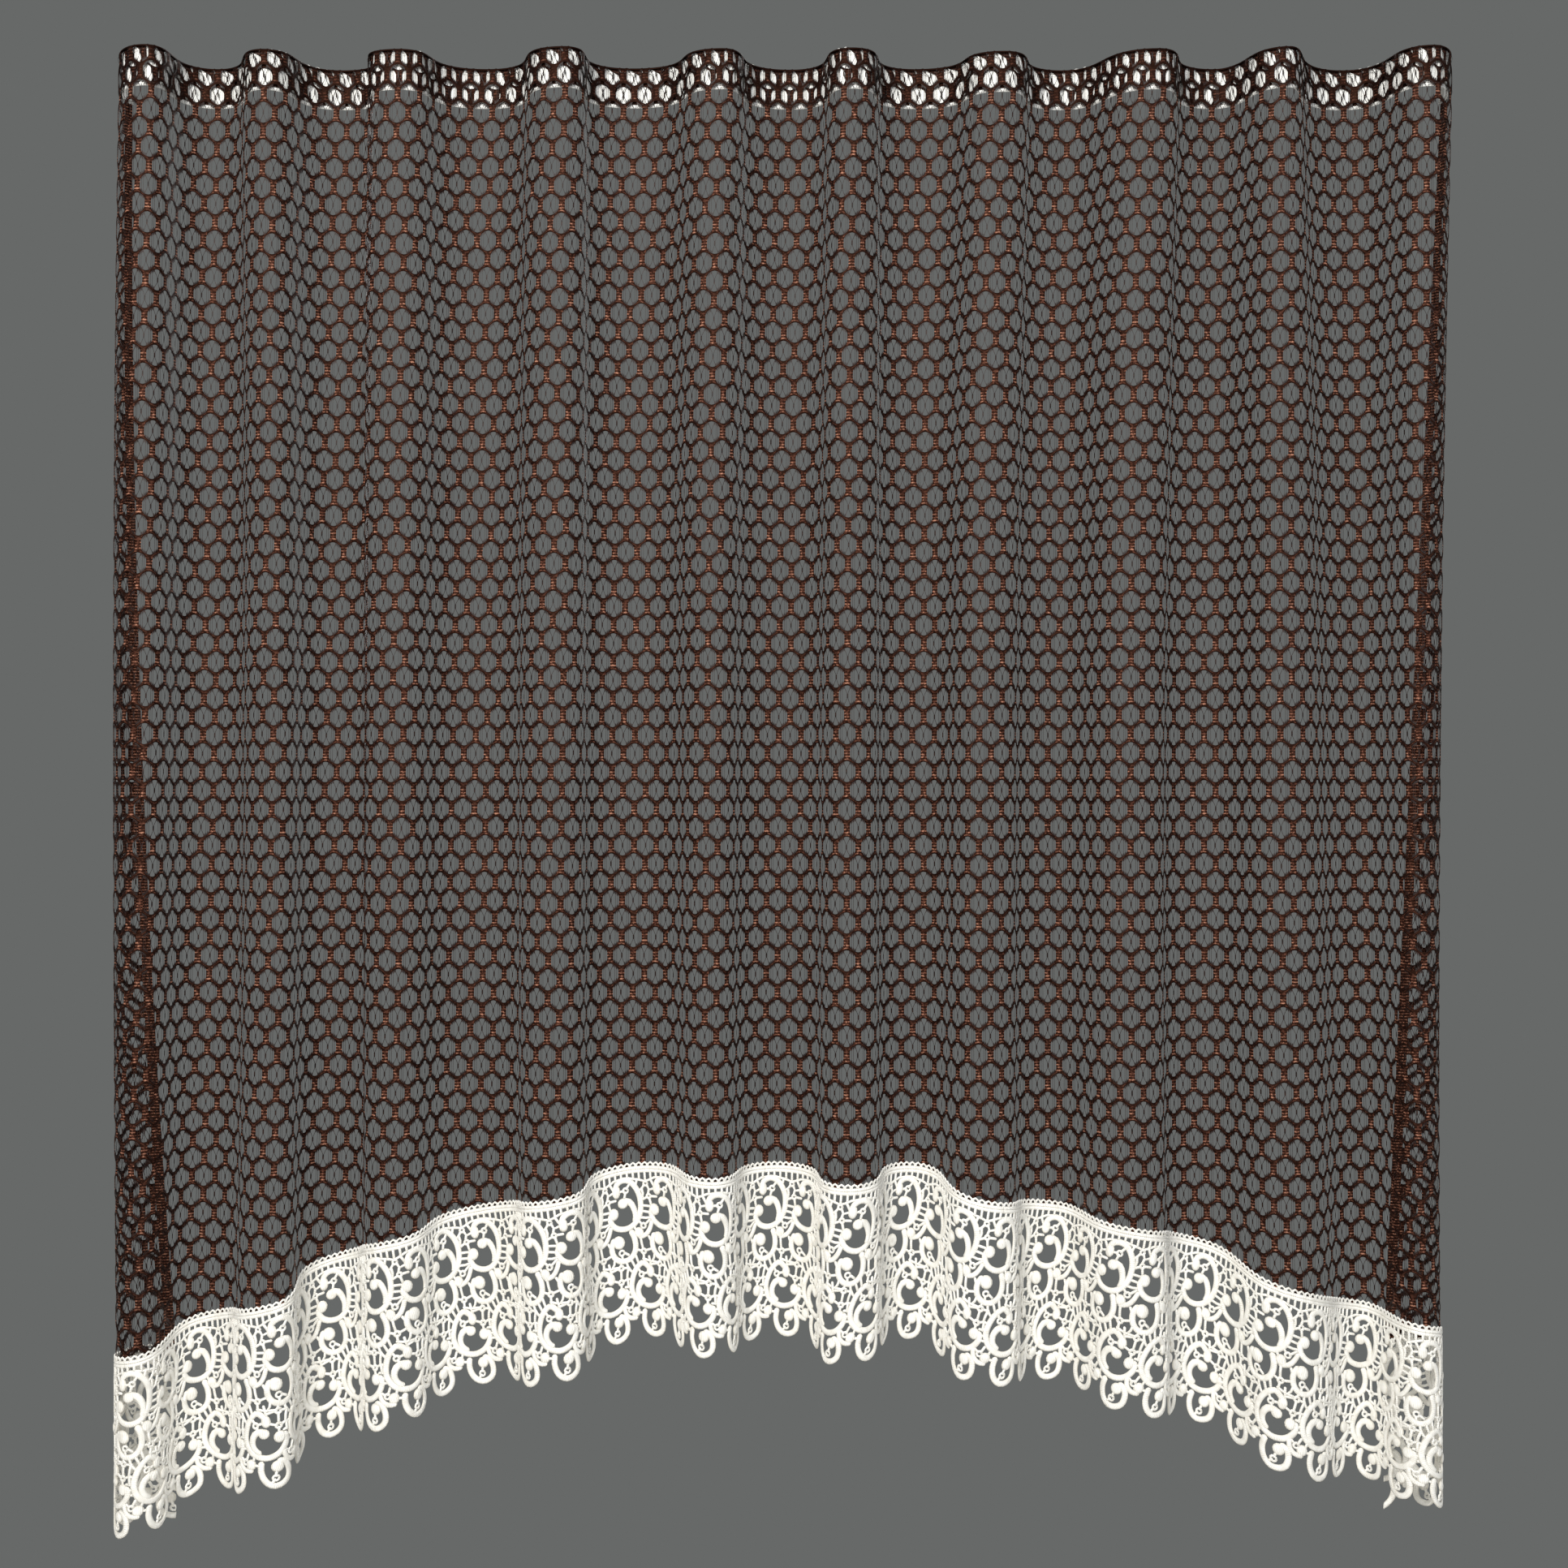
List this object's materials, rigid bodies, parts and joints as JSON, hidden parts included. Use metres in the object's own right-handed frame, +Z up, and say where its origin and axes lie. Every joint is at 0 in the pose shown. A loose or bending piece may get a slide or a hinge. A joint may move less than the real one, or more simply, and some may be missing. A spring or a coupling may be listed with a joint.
{
  "type": "arched kitchen curtain",
  "caption": "Gathered kitchen curtain of brown open net with an arched hem, a deep white lace border along it and a gathering tape behind its heading.",
  "frame": {"origin": "on the line of the rail, where the backs of the folds touch it, at the middle of the top edge", "axes": "+Z up along the drop, +X to the right across the window seen from the room, -Y towards the room, where the folds come forward"},
  "size_m": [1.5172, 0.097, 1.6751],
  "materials": {
    "brown_net": "openwork knitted net in dark brown textured yarn, matt with a slight sheen on the yarns",
    "white_tape": "plain woven polyester gathering tape, matt",
    "white_lace": "densely stitched guipure lace in white thread, raised scrolls and balls joined by fine bars"
  },
  "bodies": {
    "root": {"net_panel": "brown_net", "heading_tape": "white_tape", "lace_border": "white_lace"}
  },
  "joints": []
}
